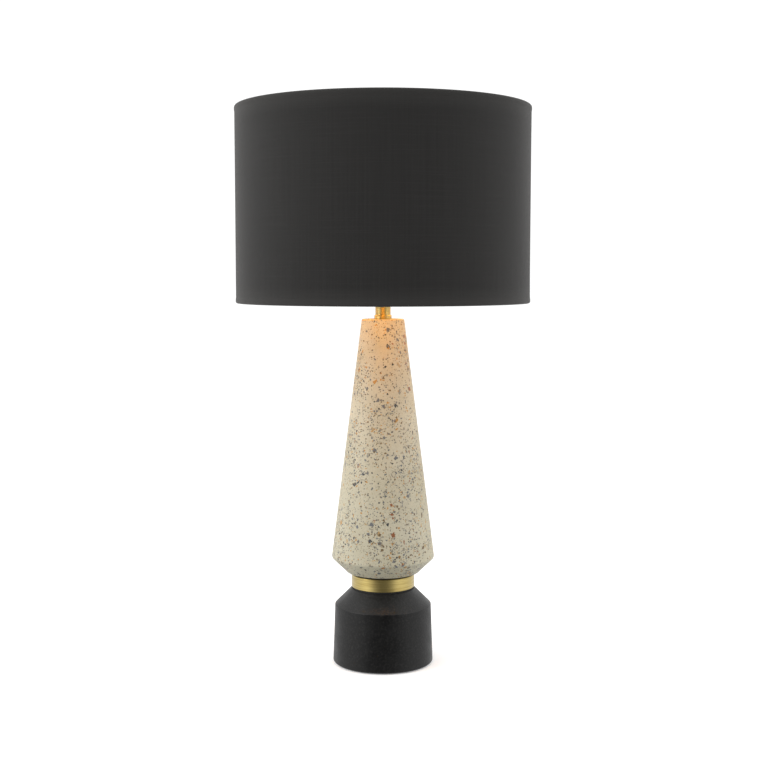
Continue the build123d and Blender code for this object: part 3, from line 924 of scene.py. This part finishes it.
def envelope():
    """The glass, with an inner and an outer wall."""
    r, low, high = span("bulb_glass")
    steps = 14

    def half(inset):
        radius, centre = r - inset, high - r
        meet = math.radians(-35)
        shoulder = np.array([radius * math.cos(meet), centre + radius * math.sin(meet)])
        start = np.array([GLASS_NECK_R - inset, low + 8])
        pull = (shoulder[1] - start[1]) * 0.55
        first = start + np.array([0, pull])
        second = shoulder + pull * np.array([math.sin(meet), -math.cos(meet)])
        points = [np.array([GLASS_NECK_R - inset, low]), np.array([GLASS_NECK_R - inset, low + 4])]
        for i in range(steps):
            t = i / steps
            points.append(
                (1 - t) ** 3 * start + 3 * (1 - t) ** 2 * t * first
                + 3 * (1 - t) * t * t * second + t ** 3 * shoulder
            )
        for i in range(33):
            a = meet + (math.pi / 2 - meet) * i / 32
            points.append(np.array([max(radius * math.cos(a), 0.0), centre + radius * math.sin(a)]))
        return points

    outline = np.array(half(0) + half(GLASS_WALL)[::-1])
    outline[np.abs(outline[:, 0]) < 1e-6, 0] = 0
    return stands_for(lathe("bulb_envelope", outline), "bulb", "bulb_glass")


def bulb_insides():
    """The stem, the four filament sticks that lean outwards, and the wires that hold them."""
    _, low, high = span("bulb_stem")
    outline = rounded([
        (0, low + 4), (10.9, low, 0.4), (10.9, low + 1, 0.4), (5.2, low + 13, 5.0),
        (3.6, high - 6, 2.0), (3.9, high - 3, 1.0), (0, high),
    ], steps=8, closed=False)
    stem = stands_for(lathe("bulb_stem_glass", outline, closed=False), "bulb", "bulb_stem")

    low_corner, high_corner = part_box("bulb_filament_1")
    bottom, top = low_corner.z / MM + 0.2, high_corner.z / MM - 0.2
    post_top = top + 2.0
    wires = [pipe_points([(0, 0, high - 1), (0, 0, high + 8), (0, 0, post_top)], 0.4, 10)]
    for number, degrees in enumerate((45, 135, 225, 315), 1):
        a = math.radians(degrees)
        way = np.array([math.cos(a), math.sin(a)])
        foot_end = np.array([*(way * STICK_FOOT_R), bottom])
        head_end = np.array([*(way * STICK_HEAD_R), top])
        line = head_end - foot_end
        body = [foot_end + line * t for t in np.linspace(0.06, 0.94, 9)]
        stick = mesh_object(f"bulb_filament_stick_{number}", [pipe_points(body, STICK_R, 14)])
        stands_for(stick, "bulb", f"bulb_filament_{number}")
        for t in ((0.0, 0.03, 0.06), (0.94, 0.97, 1.0)):
            wires.append(pipe_points([foot_end + line * share for share in t], 0.55, 10))
        hook = [
            (0, 0, post_top),
            (*(way * 4.0), post_top + 0.6),
            (*(way * 8.0), post_top + 0.2),
            head_end,
        ]
        wires.append(pipe_points(rounded_path(hook, 0.8), 0.28, 8))
        leg = [(*(way * 1.6), high - 2.0), (*(way * 1.8), high + 1.5), foot_end]
        wires.append(pipe_points(rounded_path(leg, 0.8), 0.28, 8))
    stands_for(mesh_object("bulb_support_wires", wires), "bulb", "bulb_wires")
    return stem


# ----------------------------------------------------------------------- stage and light

# where along the axis the room's brightness starts and stops changing, and from what to what
DARK_END = (-0.97, -0.55, 0.10, 1.02)
UNDERSIDE = (-0.1, 1.0, 0.96, 1.28)
WARM = (1.0, 0.46, 0.02)
LINING_GLOW = (1.0, 0.36, 0.0)
GLOW_R = 0.1
GLOW_Z = 0.43
FILAMENT_DEPTH = 32.0
SOFTBOX_WIDTH = 0.9
SOFTBOX_HEIGHT = 1.6


def add_light(data, place, aim):
    """Stands a light at a place, turned to shine at another, and hides it from the camera."""
    light = bpy.data.objects.new(data.name, data)
    bpy.context.scene.collection.objects.link(light)
    light.location = place
    light.rotation_euler = (Vector(aim) - Vector(place)).to_track_quat("-Z", "Y").to_euler()
    light.visible_camera = False


def softbox(name, place, power):
    data = bpy.data.lights.new(name, "AREA")
    data.energy = power
    data.shape = "RECTANGLE"
    data.size = SOFTBOX_WIDTH
    data.size_y = SOFTBOX_HEIGHT
    add_light(data, place, (0, 0, 0.3))


def warm_light(name, kind, place, power, tint, size):
    data = bpy.data.lights.new(name, kind)
    data.energy = power
    data.color = tint
    data.shadow_soft_size = size
    add_light(data, place, (0, 0, 0.33))
    return data


def studio():
    """A white room, brighter above than below, with a darker end behind the camera."""
    half = 6000
    corners = [(-half, -half, 0), (half, -half, 0), (half, half, 0), (-half, half, 0)]
    floor = mesh_object("floor", [(corners, [(0, 1, 2, 3)])])
    paint = Paint("pale_floor")
    tone = paint.noise(3.0, 2.0)
    base = paint.mix(tone, (0.86, 0.86, 0.86, 1), (0.88, 0.88, 0.88, 1))
    floor.data.materials.append(paint.surface(
        Base_Color=base, Roughness=0.9, Emission_Color=(1, 1, 1, 1), Emission_Strength=0.2,
    ))
    floor.visible_diffuse = False
    floor.visible_glossy = False

    world = bpy.data.worlds.new("studio")
    bpy.context.scene.world = world
    world.use_nodes = True
    nodes, links = world.node_tree.nodes, world.node_tree.links
    split = nodes.new("ShaderNodeSeparateXYZ")
    links.new(nodes.new("ShaderNodeTexCoord").outputs["Generated"], split.inputs[0])

    def fade(axis, from_low, from_high, low, high):
        node = nodes.new("ShaderNodeMapRange")
        node.interpolation_type = "SMOOTHSTEP"
        links.new(split.outputs[axis], node.inputs["Value"])
        for socket, value in zip((1, 2, 3, 4), (from_low, from_high, low, high)):
            node.inputs[socket].default_value = value
        return node.outputs["Result"]

    product = nodes.new("ShaderNodeMath")
    product.operation = "MULTIPLY"
    links.new(fade("Y", *DARK_END), product.inputs[0])
    links.new(fade("Z", *UNDERSIDE), product.inputs[1])
    seen = nodes.new("ShaderNodeMix")
    links.new(nodes.new("ShaderNodeLightPath").outputs["Is Camera Ray"], seen.inputs[0])
    links.new(product.outputs[0], seen.inputs[2])
    seen.inputs[3].default_value = 1.1
    background = nodes["Background"]
    background.inputs["Color"].default_value = (1, 1, 1, 1)
    links.new(seen.outputs[0], background.inputs["Strength"])


def lights():
    """Two softboxes, the lit bulb, and what the shade's lining throws on the neck and cone."""
    softbox("left_softbox", (-1.5, -0.67, 1.0), 16.5)
    softbox("right_softbox", (1.5, -0.6, 1.0), 7.8)
    _, _, bulb_top = span("bulb_glass")
    warm_light("bulb_light", "POINT", (0, 0, (bulb_top - FILAMENT_DEPTH) * MM), 0.5, WARM, 0.02)
    for k in range(3):
        turn = math.radians(120 * k - 90)
        place = (GLOW_R * math.cos(turn), GLOW_R * math.sin(turn), GLOW_Z)
        glow = warm_light(f"lining_glow_{k}", "SPOT", place, 0.53, LINING_GLOW, 0.03)
        glow.spot_size = math.radians(80)


def camera():
    """Looks along +Y, a little down, from in front of the lamp."""
    data = bpy.data.cameras.new("camera")
    data.sensor_width = 36.0
    data.lens = 61.0
    view = bpy.data.objects.new("camera", data)
    bpy.context.scene.collection.objects.link(view)
    view.location = (0.00105, -1.3565, 0.4135)
    view.rotation_euler = (math.radians(90 - 4.984), 0, 0)
    bpy.context.scene.camera = view


camera()
studio()
lights()
foot()
foot_pad()
grommet()
collar()
cone()
neck()
lampholder()
screw_sleeve()
liner_sheet()
wire_frame()
cloth_drum()
ring_nut()
bulb_screw()
glass = envelope()
stem_glass = bulb_insides()
for piece in (glass, stem_glass):
    piece.visible_shadow = False

bpy.context.scene.view_settings.view_transform = "Standard"
bpy.context.view_layer.update()
